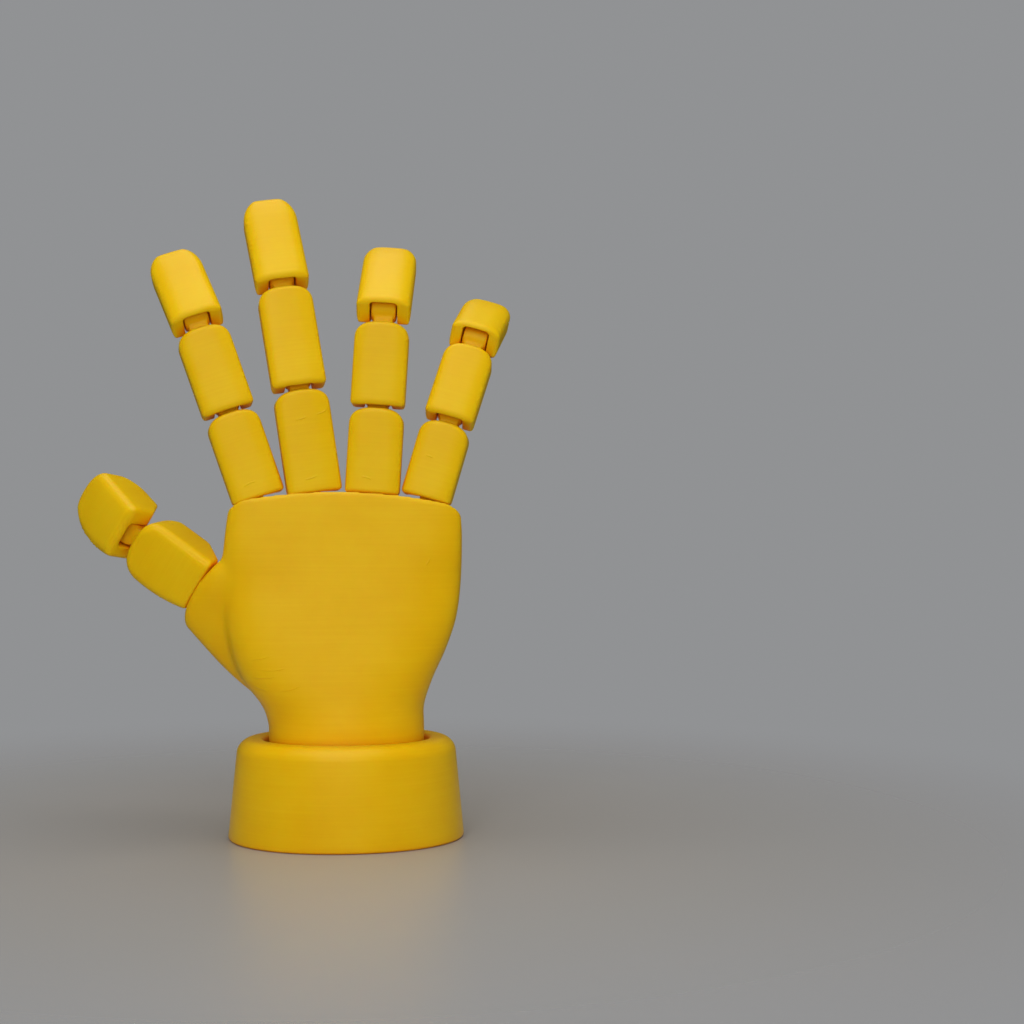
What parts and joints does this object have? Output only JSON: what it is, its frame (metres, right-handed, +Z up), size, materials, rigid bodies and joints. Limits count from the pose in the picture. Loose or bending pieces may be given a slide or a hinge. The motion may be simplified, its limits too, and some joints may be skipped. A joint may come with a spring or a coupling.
{
  "type": "posable hand model",
  "caption": "Desk model of a right hand with jointed fingers and thumb that hold a pose, standing in a separate oval base.",
  "frame": {"origin": "centre of the stand's flat underside", "axes": "+Z up along the hand, the back of the hand faces -Y, the palm faces +Y, the thumb is on the -X side"},
  "size_m": [0.1339, 0.06, 0.1923],
  "materials": {
    "stand_plastic": "matte, with fine printed layer lines",
    "palm_plastic": "matte, with fine printed layer lines",
    "index_knuckle_ball_plastic": "matte, with fine printed layer lines",
    "index_proximal_plastic": "matte, with fine printed layer lines",
    "index_middle_plastic": "matte, with fine printed layer lines",
    "index_distal_plastic": "matte, with fine printed layer lines",
    "middle_knuckle_ball_plastic": "matte, with fine printed layer lines",
    "middle_proximal_plastic": "matte, with fine printed layer lines",
    "middle_middle_plastic": "matte, with fine printed layer lines",
    "middle_distal_plastic": "matte, with fine printed layer lines",
    "ring_knuckle_ball_plastic": "matte, with fine printed layer lines",
    "ring_proximal_plastic": "matte, with fine printed layer lines",
    "ring_middle_plastic": "matte, with fine printed layer lines",
    "ring_distal_plastic": "matte, with fine printed layer lines",
    "pinky_knuckle_ball_plastic": "matte, with fine printed layer lines",
    "pinky_proximal_plastic": "matte, with fine printed layer lines",
    "pinky_middle_plastic": "matte, with fine printed layer lines",
    "pinky_distal_plastic": "matte, with fine printed layer lines",
    "thumb_knuckle_ball_plastic": "matte, with fine printed layer lines",
    "thumb_proximal_plastic": "matte, with fine printed layer lines",
    "thumb_distal_plastic": "matte, with fine printed layer lines"
  },
  "bodies": {
    "stand": {"stand": "stand_plastic"},
    "hand": {"palm": "palm_plastic"},
    "index_knuckle": {"index_knuckle_ball": "index_knuckle_ball_plastic"},
    "index_proximal": {"index_proximal": "index_proximal_plastic"},
    "index_middle": {"index_middle": "index_middle_plastic"},
    "index_distal": {"index_distal": "index_distal_plastic"},
    "middle_knuckle": {"middle_knuckle_ball": "middle_knuckle_ball_plastic"},
    "middle_proximal": {"middle_proximal": "middle_proximal_plastic"},
    "middle_middle": {"middle_middle": "middle_middle_plastic"},
    "middle_distal": {"middle_distal": "middle_distal_plastic"},
    "ring_knuckle": {"ring_knuckle_ball": "ring_knuckle_ball_plastic"},
    "ring_proximal": {"ring_proximal": "ring_proximal_plastic"},
    "ring_middle": {"ring_middle": "ring_middle_plastic"},
    "ring_distal": {"ring_distal": "ring_distal_plastic"},
    "pinky_knuckle": {"pinky_knuckle_ball": "pinky_knuckle_ball_plastic"},
    "pinky_proximal": {"pinky_proximal": "pinky_proximal_plastic"},
    "pinky_middle": {"pinky_middle": "pinky_middle_plastic"},
    "pinky_distal": {"pinky_distal": "pinky_distal_plastic"},
    "thumb_knuckle": {"thumb_knuckle_ball": "thumb_knuckle_ball_plastic"},
    "thumb_proximal": {"thumb_proximal": "thumb_proximal_plastic"},
    "thumb_distal": {"thumb_distal": "thumb_distal_plastic"}
  },
  "joints": [
    {"name": "hand_lift", "type": "slide", "parent": "stand", "child": "hand", "axis": [0, 0, 1], "range_m": [0, 0.03]},
    {"name": "index_splay", "type": "hinge", "parent": "hand", "child": "index_knuckle", "pos_m": [-0.028, -0.0015, 0.10604], "axis": [-0.1317, 0.9903, -0.0448], "range_deg": [-1, 7]},
    {"name": "index_fold", "type": "hinge", "parent": "index_knuckle", "child": "index_proximal", "pos_m": [-0.028, -0.0015, 0.10604], "axis": [0.9374, 0.1392, 0.3191], "range_deg": [-65, 2]},
    {"name": "index_middle_hinge", "type": "hinge", "parent": "index_proximal", "child": "index_middle", "pos_m": [-0.03646, -0.0006, 0.1305], "axis": [-0.9374, -0.1392, -0.3191], "range_deg": [-3, 85]},
    {"name": "index_end_hinge", "type": "hinge", "parent": "index_middle", "child": "index_distal", "pos_m": [-0.04524, 0.00168, 0.1553], "axis": [-0.9374, -0.1392, -0.3191], "range_deg": [-28, 57]},
    {"name": "middle_splay", "type": "hinge", "parent": "hand", "child": "middle_knuckle", "pos_m": [-0.0105, -0.0015, 0.10782], "axis": [-0.1206, 0.9925, -0.0174], "range_deg": [-2, 5]},
    {"name": "middle_fold", "type": "hinge", "parent": "middle_knuckle", "child": "middle_proximal", "pos_m": [-0.0105, -0.0015, 0.10782], "axis": [0.9824, 0.1219, 0.1416], "range_deg": [-65, 2]},
    {"name": "middle_middle_hinge", "type": "hinge", "parent": "middle_proximal", "child": "middle_middle", "pos_m": [-0.01493, -0.00045, 0.13768], "axis": [-0.9824, -0.1219, -0.1416], "range_deg": [-8, 80]},
    {"name": "middle_end_hinge", "type": "hinge", "parent": "middle_middle", "child": "middle_distal", "pos_m": [-0.01994, 0.00489, 0.1678], "axis": [-0.9824, -0.1219, -0.1416], "range_deg": [-16, 69]},
    {"name": "ring_splay", "type": "hinge", "parent": "hand", "child": "ring_knuckle", "pos_m": [0.0081, -0.0015, 0.10762], "axis": [0.087, 0.9962, -0.0052], "range_deg": [-5, 6]},
    {"name": "ring_fold", "type": "hinge", "parent": "ring_knuckle", "child": "ring_proximal", "pos_m": [0.0081, -0.0015, 0.10762], "axis": [0.9944, -0.0872, -0.0591], "range_deg": [-65, 2]},
    {"name": "ring_middle_hinge", "type": "hinge", "parent": "ring_proximal", "child": "ring_middle", "pos_m": [0.00966, -0.00063, 0.13255], "axis": [-0.9944, 0.0872, 0.0591], "range_deg": [-2, 86]},
    {"name": "ring_end_hinge", "type": "hinge", "parent": "ring_middle", "child": "ring_distal", "pos_m": [0.01133, 0.00115, 0.15804], "axis": [-0.9944, 0.0872, 0.0591], "range_deg": [-43, 42]},
    {"name": "pinky_splay", "type": "hinge", "parent": "hand", "child": "pinky_knuckle", "pos_m": [0.0253, -0.0015, 0.10549], "axis": [0.1504, 0.9877, -0.0431], "range_deg": [-6, 4]},
    {"name": "pinky_fold", "type": "hinge", "parent": "pinky_knuckle", "child": "pinky_proximal", "pos_m": [0.0253, -0.0015, 0.10549], "axis": [0.9494, -0.1564, -0.2722], "range_deg": [-63, 4]},
    {"name": "pinky_middle_hinge", "type": "hinge", "parent": "pinky_proximal", "child": "pinky_middle", "pos_m": [0.03192, 0.0001, 0.12766], "axis": [-0.9494, 0.1564, 0.2722], "range_deg": [-13, 75]},
    {"name": "pinky_end_hinge", "type": "hinge", "parent": "pinky_middle", "child": "pinky_distal", "pos_m": [0.03943, 0.00715, 0.14979], "axis": [-0.9494, 0.1564, 0.2722], "range_deg": [-40, 45]},
    {"name": "thumb_splay", "type": "hinge", "parent": "hand", "child": "thumb_knuckle", "pos_m": [-0.0463, 0.0045, 0.078], "axis": [0.3665, 0.9241, 0.1085], "range_deg": [-5, 5]},
    {"name": "thumb_fold", "type": "hinge", "parent": "thumb_knuckle", "child": "thumb_proximal", "pos_m": [-0.0463, 0.0045, 0.078], "axis": [0.4974, -0.2931, 0.8165], "range_deg": [-65, 0]},
    {"name": "thumb_end_hinge", "type": "hinge", "parent": "thumb_proximal", "child": "thumb_distal", "pos_m": [-0.06517, 0.01039, 0.09161], "axis": [-0.4974, 0.2931, -0.8165], "range_deg": [-25, 61]}
  ]
}
